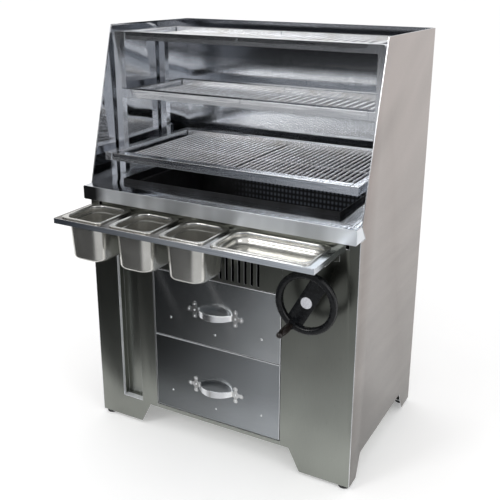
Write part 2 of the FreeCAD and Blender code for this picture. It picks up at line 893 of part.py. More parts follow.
def crank_grip():
    """Turned grip: a swelling body, a neck and a ball, bored for the pin from the wheel's side."""
    x, z = crank_place()
    start = grip_start()
    end = grip_end()
    ball_y = end + grip_ball_r
    neck_y = ball_y + math.sqrt(grip_ball_r ** 2 - grip_neck_r ** 2)
    swell = V(grip_swell_r, (start + neck_y) / 2, 0)
    edges = [
        Part.makeLine(V(0, start, 0), V(grip_r, start, 0)),
        Part.Arc(V(grip_r, start, 0), swell, V(grip_neck_r, neck_y, 0)).toShape(),
        Part.Arc(V(grip_neck_r, neck_y, 0), V(grip_ball_r, ball_y, 0), V(0, end, 0)).toShape(),
        Part.makeLine(V(0, end, 0), V(0, start, 0))]
    body = Part.Face(Part.Wire(edges)).revolve(V(0, 0, 0), V(0, 1, 0), 360)
    body.translate(V(x, 0, z))
    bore = rod_y(x, pin_end() - grip_gap, start + 1, z, crank_pin_r + grip_clearance)
    return body.cut(bore)


def wheel_shaft():
    start = -wheel_front + web_setback + web_thickness / 2
    return rod_y(wheel_x, start, pinion_small_end(), shaft_z, wheel_shaft_r)


def shaft_bush():
    bush = fused(
        rod_y(wheel_x, -bush_flange, 0, shaft_z, bush_flange_r),
        rod_y(wheel_x, 0, bush_length, shaft_z, bush_r))
    bore_r = wheel_shaft_r + bearing_clearance
    return bush.cut(rod_y(wheel_x, -bush_flange - 1, bush_length + 1, shaft_z, bore_r))


def wheel_shaft_bracket():
    """Plate on the divider that carries the wheel shaft in front of the bevel gears."""
    x0 = divider_x + sheet
    x1 = wheel_x + bracket_end
    z0 = shaft_z - bracket_height / 2
    z1 = shaft_z + bracket_height / 2
    plate = block(x0, x1, bracket_y, bracket_y + bracket_plate, z0, z1)
    foot = block(x0, x0 + bearing_flange, bracket_y - bracket_foot, bracket_y, z0, z1)
    hole_r = wheel_shaft_r + bearing_clearance
    hole = rod_y(wheel_x, bracket_y - 1, bracket_y + bracket_plate + 1, shaft_z, hole_r)
    return fused(plate, foot).cut(hole)


def flange_bearing():
    """Right-hand bearing of the cross shaft, on the divider's outer face."""
    x0 = divider_x + sheet
    s = bearing_size / 2
    flange = block(x0, x0 + bearing_flange, cross_shaft_y - s, cross_shaft_y + s, shaft_z - s, shaft_z + s)
    boss = rod_x(x0, x0 + bearing_length, cross_shaft_y, shaft_z, bearing_boss_r)
    hole = rod_x(x0 - 1, x0 + bearing_length + 1, cross_shaft_y, shaft_z, cross_shaft_r + bearing_clearance)
    return fused(flange, boss).cut(hole)


# Gears

def involute(angle):
    return math.tan(angle) - angle


def half_tooth_angle(radius, teeth):
    """Half the angle that a tooth takes up at a radius, as seen from the gear's centre."""
    pitch = tooth_module * teeth / 2
    base = pitch * math.cos(pressure_angle)
    at_pitch = math.pi / (2 * teeth) - backlash / (4 * pitch)
    flank = math.acos(base / radius) if radius > base else 0.0
    return at_pitch + involute(pressure_angle) - involute(flank)


def flank_radii(pitch):
    """Radii of one flank's points, from the root to the tip."""
    return [pitch - dedendum, pitch - dedendum / 2, pitch, pitch + addendum / 2, pitch + addendum]


def spur_outline(teeth):
    """Angle and radius of each point round a spur gear; one tooth is centred on angle 0."""
    points = []
    for i in range(teeth):
        middle = 2 * math.pi * i / teeth
        radii = flank_radii(tooth_module * teeth / 2)
        for radius in radii:
            points.append((middle - half_tooth_angle(radius, teeth), radius))
        for radius in reversed(radii):
            points.append((middle + half_tooth_angle(radius, teeth), radius))
    return points


def bevel_outline(teeth, mate_teeth, start):
    """Points round a bevel gear where its cone meets a plane across its axis at the pitch distance.

    The teeth are those of the virtual spur gear on the back cone, and start is a tooth's angle."""
    pitch = tooth_module * teeth / 2
    distance = tooth_module * mate_teeth / 2
    cone = math.atan2(pitch, distance)
    cone_length = math.hypot(pitch, distance)
    virtual_pitch = cone_length * math.tan(cone)
    virtual_teeth = teeth / math.cos(cone)
    points = []
    for i in range(teeth):
        middle = start + 2 * math.pi * i / teeth
        flank = []
        for radius in flank_radii(virtual_pitch):
            tilt = cone + math.atan((radius - virtual_pitch) / cone_length)
            turn = half_tooth_angle(radius, virtual_teeth) * virtual_teeth / teeth
            flank.append((turn, distance * math.tan(tilt)))
        points += [(middle - turn, radius) for turn, radius in flank]
        points += [(middle + turn, radius) for turn, radius in reversed(flank)]
    return points


def polar_wire(points, place):
    corners = [place(radius * math.cos(angle), radius * math.sin(angle)) for angle, radius in points]
    return Part.makePolygon(corners + [corners[0]])


def pinion_small_end():
    return cross_shaft_y - gear_pitch_r * (1 - bevel_face)


def bevel_pinion():
    """On the wheel shaft; a gap between its teeth faces the gear, towards the left."""
    outline = bevel_outline(pinion_teeth, gear_teeth, math.pi + math.pi / pinion_teeth)
    back = cross_shaft_y - gear_pitch_r
    keep = 1 - bevel_face
    large = polar_wire(outline, lambda a, b: V(wheel_x + a, back, shaft_z + b))
    small = polar_wire(
        [(angle, radius * keep) for angle, radius in outline],
        lambda a, b: V(wheel_x + a, pinion_small_end(), shaft_z + b))
    teeth = Part.makeLoft([large, small], True, True)
    hub = rod_y(wheel_x, back - bevel_hub_length, back, shaft_z, pinion_pitch_r - dedendum)
    bore = rod_y(wheel_x, back - bevel_hub_length - 1, pinion_small_end() + 1, shaft_z, wheel_shaft_r)
    return fused(teeth, hub).cut(bore)


def gear_small_end():
    return wheel_x - pinion_pitch_r * (1 - bevel_face)


def bevel_gear():
    """On the cross shaft; one of its teeth faces the pinion, towards the front."""
    outline = bevel_outline(gear_teeth, pinion_teeth, math.pi)
    back = wheel_x - pinion_pitch_r
    keep = 1 - bevel_face
    large = polar_wire(outline, lambda a, b: V(back, cross_shaft_y + a, shaft_z + b))
    small = polar_wire(
        [(angle, radius * keep) for angle, radius in outline],
        lambda a, b: V(gear_small_end(), cross_shaft_y + a, shaft_z + b))
    teeth = Part.makeLoft([large, small], True, True)
    web = rod_x(back - gear_web, back, cross_shaft_y, shaft_z, gear_web_r)
    hub = rod_x(back - gear_hub_length, back, cross_shaft_y, shaft_z, gear_hub_r)
    bore = rod_x(back - gear_hub_length - 1, gear_small_end() + 1, cross_shaft_y, shaft_z, cross_shaft_r)
    return fused(teeth, web, hub).cut(bore)


def cross_shaft():
    return rod_x(-lift_x - lift_pinion_width / 2, gear_small_end(), cross_shaft_y, shaft_z, cross_shaft_r)


def lift_pinion():
    """Right-hand spur pinion; one of its teeth faces the toothed rack, towards the front."""
    x0 = lift_x - lift_pinion_width / 2
    outline = [(angle + math.pi, radius) for angle, radius in spur_outline(lift_teeth)]
    wire = polar_wire(outline, lambda a, b: V(x0, cross_shaft_y + a, shaft_z + b))
    gear = Part.Face(wire).extrude(V(lift_pinion_width, 0, 0))
    return gear.cut(rod_x(x0 - 1, x0 + lift_pinion_width + 1, cross_shaft_y, shaft_z, cross_shaft_r))


def lift_rack():
    """Right-hand toothed bar; at rest a gap between teeth lies level with the shaft."""
    pitch = math.pi * tooth_module
    root = rack_pitch_y - dedendum
    tip = rack_pitch_y + addendum
    back = root - lift_rack_body
    at_pitch = pitch / 2 - backlash / 2
    half_tip = at_pitch / 2 - addendum * math.tan(pressure_angle)
    half_root = at_pitch / 2 + dedendum * math.tan(pressure_angle)
    top = fire_grate_z - fire_beam
    low = shaft_z - lift_stroke - lift_margin
    count_down = int((lift_stroke + lift_margin) / pitch) - 1
    count_up = int(lift_margin / pitch)
    outline = [(back, low), (back, top), (root, top)]
    for i in range(count_up, -count_down - 1, -1):
        middle = shaft_z + (i + 0.5) * pitch
        outline += [
            (root, middle + half_root), (tip, middle + half_tip),
            (tip, middle - half_tip), (root, middle - half_root)]
    outline.append((root, low))
    return plate_yz(lift_x - lift_rack_width / 2, lift_x + lift_rack_width / 2, outline)


def rack_guide():
    """Right-hand U-shaped guide behind the toothed bar, on an arm from the divider."""
    root = rack_pitch_y - dedendum
    back = root - lift_rack_body
    x0 = lift_x - lift_rack_width / 2 - guide_gap
    x1 = lift_x + lift_rack_width / 2 + guide_gap
    z0 = shaft_z - guide_height / 2
    z1 = shaft_z + guide_height / 2
    y0 = back - guide_gap
    outer = block(x0 - guide_wall, x1 + guide_wall, y0 - guide_wall, root - 1, z0, z1)
    channel = outer.cut(block(x0, x1, y0, root, z0 - 1, z1 + 1))
    arm = block(divider_x + sheet, x0 - guide_wall, y0 - guide_wall, y0 - guide_wall + guide_arm, z0, z1)
    return fused(channel, arm)


def fire_grate():
    """Bars in a flat frame, with a beam over each lift rack."""
    x = basin_half - liner_wall - board - fire_grate_gap
    y0 = basin_front + liner_wall + board + fire_grate_gap
    y1 = basin_back - liner_wall - board - fire_grate_gap
    z0 = fire_grate_z
    z1 = z0 + fire_grate_height
    bar = fire_frame
    frame = block(-x, x, y0, y1, z0, z1)
    frame = frame.cut(block(-x + bar, x - bar, y0 + bar, y1 - bar, z0 - 1, z1 + 1))
    pieces = [frame]
    bar_z = (z0 + z1) / 2
    inner = x - fire_frame
    for i in range(fire_bars):
        bar_x = -inner + 2 * inner * (i + 1) / (fire_bars + 1)
        pieces.append(rod_y(bar_x, y0 + fire_frame / 2, y1 - fire_frame / 2, bar_z, fire_bar_r))
    for side in (-1, 1):
        middle = side * lift_x
        pieces.append(block(
            middle - lift_rack_width / 2, middle + lift_rack_width / 2, y0, y1, z0 - fire_beam, z0))
        pieces.append(block(
            middle - lift_rack_width / 2, middle + lift_rack_width / 2, y0 + fire_frame, y1 - fire_frame,
            z0, bar_z))
    return fused(*pieces)


# Write every node

def write_cabinet():
    write("right_side_panel", side_panel())
    write("left_side_panel", mirrored(side_panel()))
    write("right_column_front", right_column_front())
    write("left_column_front", left_column_front())
    write("niche_liner", niche_liner())
    write("vent_panel", vent_panel())
    write("base_plate", base_plate())
    write("back_panel", back_panel())
    write("back_wall", back_wall())
    write("right_divider", divider())
    write("left_divider", mirrored(divider()))
    feet = [levelling_foot(x, y) for x, y in foot_places()]
    write("levelling_feet", *feet, *[lock_nut(x, y) for x, y in foot_places()])
    write("foot_brackets", *[foot_bracket(x, y) for x, y in foot_places()])


def write_worktop():
    write("front_ledge", front_ledge())
    write("basin_liner", basin_liner())
    write("insulation_boards", *insulation_boards())


def write_drawers():
    fixed = []
    for name, z0, z1, box_drop in (
            ("lower", lower_front_bottom, lower_front_top, lower_box_drop),
            ("upper", upper_front_bottom, upper_front_top, upper_box_drop)):
        box_z = z0 + drawer_box_floor
        runner_z = box_z + runner_rise
        write(name + "_drawer_front", drawer_front(z0, z1))
        write(name + "_drawer_box", drawer_box(box_z, z1 - box_drop))
        write(name + "_drawer_handle", handle(z0 + handle_above_bottom))
        write(name + "_drawer_screws", *drawer_screws(z0))
        write(name + "_drawer_runners", moving_runner(runner_z), mirrored(moving_runner(runner_z)))
        fixed += [fixed_runner(runner_z), mirrored(fixed_runner(runner_z))]
    write("fixed_runners", *fixed)


def write_racks():
    for name, y0 in (("front", front_post_y), ("rear", rear_post_y)):
        write(name + "_right_post", upright(y0))
        write(name + "_left_post", mirrored(upright(y0)))
    for name, front, gap, rise, bars, bar_r in (
            ("lower", lower_rack_front, lower_rack_gap, lower_rack_rise, fine_bars, fine_bar_r),
            ("middle", middle_rack_front, middle_rack_gap, middle_rack_rise, coarse_bars, coarse_bar_r),
            ("upper", upper_rack_front, upper_rack_gap, upper_rack_rise, coarse_bars, coarse_bar_r)):
        back = back_wall_y - gap
        top = ledge_top + rise
        write(name + "_rack_frame", rack_frame(front, back, top))
        right = grate(front, back, top, bars, bar_r)
        write(name + "_right_grate", *right)
        write(name + "_left_grate", *[mirrored(solid) for solid in right])


def write_tray():
    write("tray_frame", tray_frame())
    write("tray_brackets", *tray_brackets())
    for name, size in zip(("left_pan", "second_pan", "third_pan", "wide_pan"), pans()):
        write(name, pan(*size))


def write_lift():
    write("handwheel", handwheel())
    write("hub_cap", hub_cap())
    write("crank_pin", crank_pin())
    write("crank_grip", crank_grip())
    write("wheel_shaft", wheel_shaft())
    write("shaft_bush", shaft_bush())
    write("bevel_pinion", bevel_pinion())
    write("bevel_gear", bevel_gear())
    write("cross_shaft", cross_shaft())
    write("lift_pinions", lift_pinion(), mirrored(lift_pinion()))
    write("shaft_bearings", flange_bearing(), mirrored(flange_bearing()), wheel_shaft_bracket())
    write("lift_racks", lift_rack(), mirrored(lift_rack()))
    write("rack_guides", rack_guide(), mirrored(rack_guide()))
    write("fire_grate", fire_grate())


write_cabinet()
write_worktop()
write_drawers()
write_racks()
write_tray()
write_lift()
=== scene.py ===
import json
import math

import bmesh
import bpy
from mathutils import Matrix, Vector


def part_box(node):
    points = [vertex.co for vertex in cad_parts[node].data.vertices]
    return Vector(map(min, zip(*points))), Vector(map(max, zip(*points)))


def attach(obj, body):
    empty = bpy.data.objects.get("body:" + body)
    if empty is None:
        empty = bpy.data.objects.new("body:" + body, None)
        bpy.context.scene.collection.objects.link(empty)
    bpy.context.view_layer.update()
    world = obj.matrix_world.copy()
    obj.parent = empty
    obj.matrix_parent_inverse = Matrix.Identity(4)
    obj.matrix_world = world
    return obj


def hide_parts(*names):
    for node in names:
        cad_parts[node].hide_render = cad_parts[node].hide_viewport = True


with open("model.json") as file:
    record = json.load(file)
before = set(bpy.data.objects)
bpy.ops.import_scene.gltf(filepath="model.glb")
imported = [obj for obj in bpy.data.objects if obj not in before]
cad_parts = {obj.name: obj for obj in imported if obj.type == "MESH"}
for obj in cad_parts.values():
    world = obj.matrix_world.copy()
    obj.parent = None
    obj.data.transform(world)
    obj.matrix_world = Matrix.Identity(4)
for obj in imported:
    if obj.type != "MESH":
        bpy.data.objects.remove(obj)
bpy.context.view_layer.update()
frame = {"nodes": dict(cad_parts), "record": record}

# All sizes are metres. X runs to the right, -Y to the front and Z up from the floor.
MM = 0.001

# The photograph's camera. Pixels are those of the 500 by 500 photograph.
PHOTO_SIZE = 500.0
CAMERA_PLACE = (1.2043, -2.1716, 1.5922)
CAMERA_RIGHT = (0.88615, 0.46331, 0.00927)
CAMERA_UP = (-0.14733, 0.26271, 0.95356)
CAMERA_AHEAD = (-0.43936, 0.84636, -0.30106)
CAMERA_LENS = 54.1627
CAMERA_SENSOR = 36.0
AXIS_PIXEL = (266.95, 213.21)

WHITE = (1.0, 1.0, 1.0, 1.0)
BLACK = (0.0, 0.0, 0.0, 1.0)
FLOOR_GLOW = 0.22
WORLD_LIGHT = 0.85

# What is treated as one flat face, as a sheet's cut edge and as a corner when the edges are rounded.
EDGE_ROUND = 0.4 * MM
DRAWER_ROUND = 1.4 * MM
STRIP_ROUND = 0.2 * MM
SHEET_EDGE = 3.3 * MM
SHORT_FACE = 20 * MM
SAME_POINT = 0.002 * MM
FLAT_ANGLE = math.radians(0.6)
CORNER_ANGLE = math.radians(30)
SHADE_ANGLE = math.radians(20)

# Slanting painted highlights on the upper drawer: where they start along X at the drawer's top.
HIGHLIGHT_STREAK_STARTS = (-0.225, -0.02)
HIGHLIGHT_STREAK_TOP = 0.63
HIGHLIGHT_STREAK_END = 0.44
HIGHLIGHT_STREAK_SLOPE = 0.5
HIGHLIGHT_STREAK_HALF = 0.028

# Places of the colour sockets on Blender's mix node, whose names repeat.
MIX_FIRST = 6
MIX_SECOND = 7
MIX_RESULT = 2

# Brushed lines run along the axis that is stretched least.
GRAIN = {"X": (1.0, 30.0, 30.0), "Y": (30.0, 1.0, 30.0), "Z": (30.0, 30.0, 1.0)}


def tone(red, green, blue):
    """A colour as it should look on screen, from 0 to 255, in Blender's linear values."""
    values = []
    for channel in (red, green, blue):
        share = channel / 255
        values.append(share / 12.92 if share <= 0.04045 else ((share + 0.055) / 1.055) ** 2.4)
    return (*values, 1.0)


def add_object(name, data):
    """A new object in the scene, made from a mesh, a camera or a lamp."""
    made = bpy.data.objects.new(name, data)
    bpy.context.scene.collection.objects.link(made)
    return made


# Camera, floor and light

def add_camera():
    data = bpy.data.cameras.new("photo_camera")
    data.lens = CAMERA_LENS
    data.sensor_width = CAMERA_SENSOR
    data.shift_x = (PHOTO_SIZE / 2 - AXIS_PIXEL[0]) / PHOTO_SIZE
    data.shift_y = (AXIS_PIXEL[1] - PHOTO_SIZE / 2) / PHOTO_SIZE
    camera = add_object("photo_camera", data)
    axes = [Vector(CAMERA_RIGHT), Vector(CAMERA_UP), -Vector(CAMERA_AHEAD)]
    turn = Matrix([[axis[row] for axis in axes] for row in range(3)]).to_4x4()
    camera.matrix_world = Matrix.Translation(CAMERA_PLACE) @ turn
    bpy.context.scene.camera = camera


def add_floor():
    """White floor, which glows a little where the camera or a reflection meets it."""
    reach = 90.0
    darker = (0.93, 0.93, 0.93, 1.0)
    lighter = (0.95, 0.95, 0.95, 1.0)
    corners = [(-reach, -reach, 0), (reach, -reach, 0), (reach, reach, 0), (-reach, reach, 0)]
    mesh = bpy.data.meshes.new("floor")
    mesh.from_pydata(corners, [], [(0, 1, 2, 3)])
    floor = add_object("floor", mesh)
    paint = Paint("floor_white")
    paint.set(roughness=0.9, specular=0.0)
    grain = paint.noise(paint.place(), scale=3.0, detail=2.0)
    paint.colour(paint.ramp(grain, [(0.3, darker), (0.7, lighter)]))
    paint.shader.inputs["Emission Color"].default_value = WHITE
    glow = paint.math("MULTIPLY", seen_directly(paint.tree), FLOOR_GLOW)
    paint.feed(paint.shader.inputs["Emission Strength"], glow)
    floor.data.materials.append(paint.material)


def seen_directly(tree):
    """1 for rays from the camera, a reflection or through glass, and 0 for the light's own."""
    path = tree.nodes.new("ShaderNodeLightPath")
    seen = path.outputs["Is Camera Ray"]
    for kind in ("Is Glossy Ray", "Is Transmission Ray"):
        either = tree.nodes.new("ShaderNodeMath")
        either.operation = "MAXIMUM"
        tree.links.new(seen, either.inputs[0])
        tree.links.new(path.outputs[kind], either.inputs[1])
        seen = either.outputs[0]
    return seen


def card_paint(name, first, last, stops):
    """A dull card that glows faintly, shaded along X from first to last; its colours are plain greys."""
    paint = Paint(name)
    paint.set(roughness=1.0, specular=0.0)
    paint.colour(BLACK)
    share = paint.between(paint.axis("X"), first, last)
    paint.feed(paint.shader.inputs["Emission Color"], paint.ramp(share, stops, smooth=True))
    paint.shader.inputs["Emission Strength"].default_value = 1.0
    return paint.material


def add_card(name, verts, faces, material):
    """A card of the studio that only reflections show, so it shades and hides nothing."""
    mesh = bpy.data.meshes.new(name)
    mesh.from_pydata(verts, [], faces)
    mesh.materials.append(material)
    card = add_object(name, mesh)
    card.visible_camera = False
    card.visible_diffuse = False
    card.visible_shadow = False
    card.visible_transmission = False


def wall_card(name, radius, first, last, low, high, material):
    """Upright card on an arc round the object; angles are degrees from -Y towards -X."""
    steps = 16
    verts = []
    for i in range(steps + 1):
        angle = math.radians(first + (last - first) * i / steps)
        x = -radius * math.sin(angle)
        y = -radius * math.cos(angle)
        verts += [(x, y, low), (x, y, high)]
    faces = [(2 * i, 2 * i + 2, 2 * i + 3, 2 * i + 1) for i in range(steps)]
    add_card(name, verts, faces, material)


def add_room():
    """The dark side of the studio, behind the camera, and the dull ground before the object."""
    dark = card_paint("room_dark", -4.0, 4.0, [(0.0, tone(34, 35, 37)), (1.0, tone(60, 61, 63))])
    wall_card("room_wall", radius=9.0, first=-60, last=85, low=0.0, high=2.7, material=dark)
    wall_card("left_card", radius=2.6, first=50, last=85, low=0.0, high=1.8, material=dark)
    near = card_paint("near_ground", -1.3, 0.2, [
        (0.0, tone(34, 35, 36)), (0.35, tone(70, 71, 72)), (1.0, tone(212, 213, 214))])
    ground_card("near_card", far=-2.9, near=-0.5, material=near)
    far = card_paint("far_ground", -2.4, -0.9, [
        (0.0, tone(52, 53, 56)), (0.4, tone(104, 108, 114)), (1.0, tone(176, 180, 186))])
    ground_card("far_card", far=-5.6, near=-2.9, material=far)


def ground_card(name, far, near, material):
    """Card that lies on the floor before the object, from y far to y near."""
    reach = 4.0
    height = 3 * MM
    corners = [(-reach, far, height), (reach, far, height), (reach, near, height), (-reach, near, height)]
    add_card(name, corners, [(0, 1, 2, 3)], material)


def add_lamp(name, place, target, size, watts):
    data = bpy.data.lights.new(name, "AREA")
    data.shape = "RECTANGLE"
    data.size, data.size_y = size
    data.energy = watts
    lamp = add_object(name, data)
    lamp.location = place
    lamp.rotation_euler = (Vector(target) - Vector(place)).to_track_quat("-Z", "Y").to_euler()


def add_world():
    """White wherever the camera or a reflection meets it, and a plain even light elsewhere."""
    world = bpy.data.worlds.new("studio")
    bpy.context.scene.world = world
    world.use_nodes = True
    tree = world.node_tree
    background = tree.nodes["Background"]
    strength = tree.nodes.new("ShaderNodeMapRange")
    strength.inputs["To Min"].default_value = WORLD_LIGHT
    strength.inputs["To Max"].default_value = 1.0
    tree.links.new(seen_directly(tree), strength.inputs["Value"])
    background.inputs["Color"].default_value = WHITE
    tree.links.new(strength.outputs[0], background.inputs["Strength"])


# Materials

class Paint:
    """One material's nodes, with the few calls that the finishes share."""

    def __init__(self, name):
        self.material = bpy.data.materials.new(name)
        self.material.use_nodes = True
        self.tree = self.material.node_tree
        self.shader = self.tree.nodes["Principled BSDF"]

    def set(self, metallic=0.0, roughness=0.5, specular=0.5, anisotropy=0.0):
        self.shader.inputs["Metallic"].default_value = metallic
        self.shader.inputs["Roughness"].default_value = roughness
        self.shader.inputs["Specular IOR Level"].default_value = specular
        self.shader.inputs["Anisotropic"].default_value = anisotropy

    def node(self, kind, **inputs):
        made = self.tree.nodes.new(kind)
        for name, value in inputs.items():
            self.feed(made.inputs[name], value)
        return made

    def feed(self, socket, value):
        """Gives a socket a link or a plain value."""
        if isinstance(value, bpy.types.NodeSocket):
            self.tree.links.new(value, socket)
        else:
            socket.default_value = value

    def place(self, stretch=(1.0, 1.0, 1.0)):
        """The point on the piece in metres, stretched along each axis."""
        source = self.node("ShaderNodeTexCoord").outputs["Object"]
        mapping = self.node("ShaderNodeMapping", Vector=source, Scale=stretch)
        return mapping.outputs["Vector"]

    def axis(self, name):
        """One coordinate of the point on the piece."""
        source = self.node("ShaderNodeTexCoord").outputs["Object"]
        return self.node("ShaderNodeSeparateXYZ", Vector=source).outputs[name]

    def noise(self, vector, scale=1.0, detail=3.0, rough=0.5, distortion=0.0):
        made = self.node(
            "ShaderNodeTexNoise", Vector=vector, Scale=scale, Detail=detail, Roughness=rough,
            Distortion=distortion)
        return made.outputs["Fac"]

    def ramp(self, factor, stops, smooth=False):
        made = self.node("ShaderNodeValToRGB", Fac=factor)
        if smooth:
            made.color_ramp.interpolation = "EASE"
        elements = made.color_ramp.elements
        while len(elements) < len(stops):
            elements.new(0.5)
        for element, (position, colour) in zip(elements, stops):
            element.position = position
            element.color = colour
        return made.outputs["Color"]

    def between(self, value, low, high, to_low=0.0, to_high=1.0):
        """A value's place between low and high, as one between to_low and to_high."""
        made = self.node(
            "ShaderNodeMapRange", Value=value, **{
                "From Min": low, "From Max": high, "To Min": to_low, "To Max": to_high})
        return made.outputs["Result"]

    def math(self, operation, first, second):
        made = self.tree.nodes.new("ShaderNodeMath")
        made.operation = operation
        self.feed(made.inputs[0], first)
        self.feed(made.inputs[1], second)
        return made.outputs[0]

    def wave(self, value, period):
        """Soft bars that repeat along a coordinate, from 0 to 1."""
        turn = self.math("SINE", self.math("MULTIPLY", value, 2 * math.pi / period), 0.0)
        return self.between(turn, -1.0, 1.0)

    def blend(self, first, second, share):
        """A mixture of two patterns; share is the first one's."""
        part = self.math("MULTIPLY", first, share)
        rest = self.math("MULTIPLY", second, 1 - share)
        return self.math("ADD", part, rest)

    def mix(self, factor, first, second, blend="MIX"):
        made = self.tree.nodes.new("ShaderNodeMix")
        made.data_type = "RGBA"
        made.blend_type = blend
        self.feed(made.inputs["Factor"], factor)
        self.feed(made.inputs[MIX_FIRST], first)
        self.feed(made.inputs[MIX_SECOND], second)
        return made.outputs[MIX_RESULT]

    def shaded(self, colour, shade):
        """A colour multiplied by another."""
        return self.mix(1.0, colour, shade, blend="MULTIPLY")

    def colour(self, value):
        self.feed(self.shader.inputs["Base Color"], value)

    def roughness(self, value):
        self.feed(self.shader.inputs["Roughness"], value)

    def bump(self, height, depth):
        """A raised pattern; depth is metres."""
        made = self.node("ShaderNodeBump", Height=height, Distance=depth, Strength=1.0)
        self.feed(self.shader.inputs["Normal"], made.outputs["Normal"])

    def grain_across(self, **direction):
        """Blurs reflections along the given direction."""
        tangent = self.node("ShaderNodeCombineXYZ", **direction)
        self.feed(self.shader.inputs["Tangent"], tangent.outputs[0])


def sheet_paint(name, dark, light, grain, roughness, waves=0.0003, streaks=0.15, patch=3.0):
    """Brushed sheet steel: fine lines along the grain, soft broad patches and slight waves."""
    paint = Paint(name)
    paint.set(metallic=1.0, roughness=roughness)
    lines = paint.noise(paint.place(GRAIN[grain]), scale=24.0, detail=3.0, rough=0.6)
    patches = paint.noise(paint.place(), scale=patch, detail=2.0, distortion=0.6)
    mixed = paint.blend(lines, patches, streaks)
    paint.colour(paint.ramp(mixed, [(0.3, dark), (0.7, light)]))
    paint.roughness(paint.between(lines, 0.25, 0.75, roughness - 0.04, roughness + 0.05))
    paint.bump(patches, waves)
    return paint


def edge_paint():
    """The edges and folds of the sheets, given a painted highlight that makes them brighter than their
    faces.
    """
    paint = Paint("painted_edge_highlight")
    paint.set(metallic=1.0, roughness=0.22)
    rub = paint.noise(paint.place(), scale=12.0, detail=2.0)
    # Painted highlight: near white along rounded and cut edges.
    paint.colour(paint.ramp(rub, [(0.35, tone(214, 216, 219)), (0.65, tone(236, 237, 240))]))
    paint.bump(rub, 0.00001)
    return paint.material


def side_paint():
    """Satin side sheets: level bands below and a slanting swirl above, both painted reflections, and
    painted shade that makes them darker towards the floor.
    """
    paint = Paint("side_sheet")
    paint.set(metallic=1.0, roughness=0.3)
    height = paint.axis("Z")
    # Painted reflections: level bands below and a slanting swirl above.
    bands = paint.noise(paint.place((1.0, 0.8, 7.0)), scale=2.0, detail=4.0, rough=0.55)
    slope = math.radians(-28)
    slant = paint.node("ShaderNodeVectorRotate", Vector=paint.place(), Axis=(1, 0, 0), Angle=slope)
    stretched = paint.node("ShaderNodeMapping", Vector=slant.outputs["Vector"], Scale=(1.0, 0.5, 2.2))
    swirl = paint.noise(stretched.outputs["Vector"], scale=2.6, detail=2.0, rough=0.4, distortion=0.5)
    mixed = paint.between(paint.mix(paint.between(height, 0.95, 0.75), swirl, bands), 0.22, 0.78)
    shine = paint.mix(mixed, tone(152, 144, 140), tone(176, 166, 162))
    # Painted shade: darker towards the floor.
    shade = paint.mix(paint.between(height, 0.0, 1.3), tone(180, 184, 183), WHITE)
    paint.colour(paint.shaded(shine, shade))
    lines = paint.noise(paint.place(GRAIN["Y"]), scale=30.0, detail=3.0)
    paint.roughness(paint.between(lines, 0.25, 0.75, 0.27, 0.34))
    paint.bump(swirl, 0.0004)
    return paint.material


def inner_side_paint():
    """Inside of the hood's sides, polished to a mirror."""
    paint = Paint("side_mirror")
    paint.set(metallic=1.0, roughness=0.07)
    waves = paint.noise(paint.place(), scale=4.0, detail=2.0)
    paint.colour(paint.ramp(waves, [(0.3, tone(196, 197, 200)), (0.7, tone(214, 215, 218))]))
    paint.bump(waves, 0.0004)
    return paint.material


def front_paint():
    """Column fronts: satin and greenish grey, with a painted reflection that makes them darker towards
    their tops.
    """
    paint = Paint("front_sheet")
    paint.set(metallic=1.0, roughness=0.3)
    lines = paint.noise(paint.place(GRAIN["Z"]), scale=24.0, detail=3.0)
    patches = paint.noise(paint.place(), scale=3.0, detail=2.0)
    mixed = paint.blend(lines, patches, 0.2)
    shine = paint.ramp(mixed, [(0.3, tone(130, 132, 127)), (0.7, tone(152, 155, 149))])
    # Painted reflection: darker towards the top.
    shade = paint.mix(paint.between(paint.axis("Z"), 0.3, 0.75), WHITE, tone(190, 190, 187))
    paint.colour(paint.shaded(shine, shade))
    paint.roughness(paint.between(lines, 0.25, 0.75, 0.27, 0.34))
    paint.bump(patches, 0.0003)
    return paint.material


def drawer_paint():
    """Half gloss fronts: painted shade darkens the left end and the lower drawer, and two slanting painted
    highlights lie below the pans.
    """
    paint = Paint("drawer_sheet")
    paint.set(metallic=1.0, roughness=0.22, anisotropy=0.6)
    paint.grain_across(Z=1.0)
    across = paint.axis("X")
    height = paint.axis("Z")
    lines = paint.noise(paint.place(GRAIN["X"]), scale=24.0, detail=3.0)
    patches = paint.noise(paint.place(), scale=3.0, detail=2.0)
    shine = paint.ramp(patches, [(0.3, tone(176, 179, 181)), (0.7, tone(196, 200, 204))])
    # Painted shade: darker towards the left end and on the lower drawer.
    left = paint.mix(paint.between(across, -0.24, 0.2), tone(160, 161, 160), WHITE)
    low = paint.mix(paint.between(height, 0.38, 0.4), tone(206, 207, 208), WHITE)
    shine = paint.shaded(paint.shaded(shine, left), low)
    # Two slanting painted highlights below the pans, mixed towards white.
    slanted = paint.math("ADD", across, paint.math("MULTIPLY", height, HIGHLIGHT_STREAK_SLOPE))
    fade = paint.between(height, HIGHLIGHT_STREAK_END, HIGHLIGHT_STREAK_TOP)
    for start in HIGHLIGHT_STREAK_STARTS:
        middle = start + HIGHLIGHT_STREAK_SLOPE * HIGHLIGHT_STREAK_TOP
        distance = paint.math("ABSOLUTE", paint.math("SUBTRACT", slanted, middle), 0.0)
        glow = paint.math("MULTIPLY", paint.between(distance, HIGHLIGHT_STREAK_HALF, 0.0), fade)
        shine = paint.mix(paint.math("MULTIPLY", glow, 0.5), shine, WHITE)
    paint.colour(shine)
    paint.roughness(paint.between(lines, 0.25, 0.75, 0.2, 0.26))
    paint.bump(patches, 0.0003)
    return paint.material


